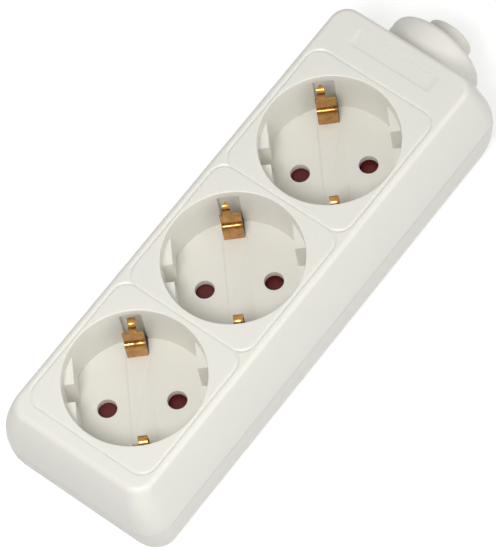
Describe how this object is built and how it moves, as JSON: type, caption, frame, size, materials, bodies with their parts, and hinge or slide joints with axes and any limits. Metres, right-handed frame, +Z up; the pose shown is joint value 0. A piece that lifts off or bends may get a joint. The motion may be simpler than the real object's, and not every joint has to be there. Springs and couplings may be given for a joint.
{
  "type": "triple socket adapter",
  "caption": "Long ivory socket block with round side-earthed sockets in a row, dark red pin shutters, brass earth clips and a stepped cable gland.",
  "frame": {"origin": "on the underside, below the middle socket's axis", "axes": "+X along the block towards the cable gland, +Z up out of the sockets"},
  "size_m": [0.1703, 0.0542, 0.039],
  "materials": {
    "ivory_plastic": "satin",
    "tray_plastic": "satin",
    "brass": "satin",
    "plated_steel": "satin",
    "red_plastic": "satin"
  },
  "bodies": {
    "housing": {"top_cover": "ivory_plastic", "cable_gland": "ivory_plastic", "base_tray": "tray_plastic", "cord_clamp": "tray_plastic", "shutter_cap_1": "tray_plastic", "shutter_cap_2": "tray_plastic", "shutter_cap_3": "tray_plastic", "live_busbar": "brass", "neutral_busbar": "brass", "earth_bar": "brass", "shutter_spring_1": "plated_steel", "shutter_spring_2": "plated_steel", "shutter_spring_3": "plated_steel", "cover_screw_1": "plated_steel", "cover_screw_2": "plated_steel", "cover_screw_3": "plated_steel", "cover_screw_4": "plated_steel", "clamp_screw_1": "plated_steel", "clamp_screw_2": "plated_steel", "live_terminal_screw": "plated_steel", "neutral_terminal_screw": "plated_steel", "earth_terminal_screw": "plated_steel"},
    "shutter_rotor_1": {"shutter_1": "red_plastic"},
    "shutter_rotor_2": {"shutter_2": "red_plastic"},
    "shutter_rotor_3": {"shutter_3": "red_plastic"}
  },
  "joints": [
    {"name": "shutter_turn_1", "type": "hinge", "parent": "housing", "child": "shutter_rotor_1", "pos_m": [-0.04308, 0, 0.0179], "axis": [0, 0, -1], "range_deg": [0, 42], "stiffness_Nm_per_rad": 0.002, "springref_deg": -17.19},
    {"name": "shutter_turn_2", "type": "hinge", "parent": "housing", "child": "shutter_rotor_2", "pos_m": [0, 0, 0.0179], "axis": [0, 0, -1], "range_deg": [0, 42], "stiffness_Nm_per_rad": 0.002, "springref_deg": -17.19},
    {"name": "shutter_turn_3", "type": "hinge", "parent": "housing", "child": "shutter_rotor_3", "pos_m": [0.04308, 0, 0.0179], "axis": [0, 0, -1], "range_deg": [0, 42], "stiffness_Nm_per_rad": 0.002, "springref_deg": -17.19}
  ]
}
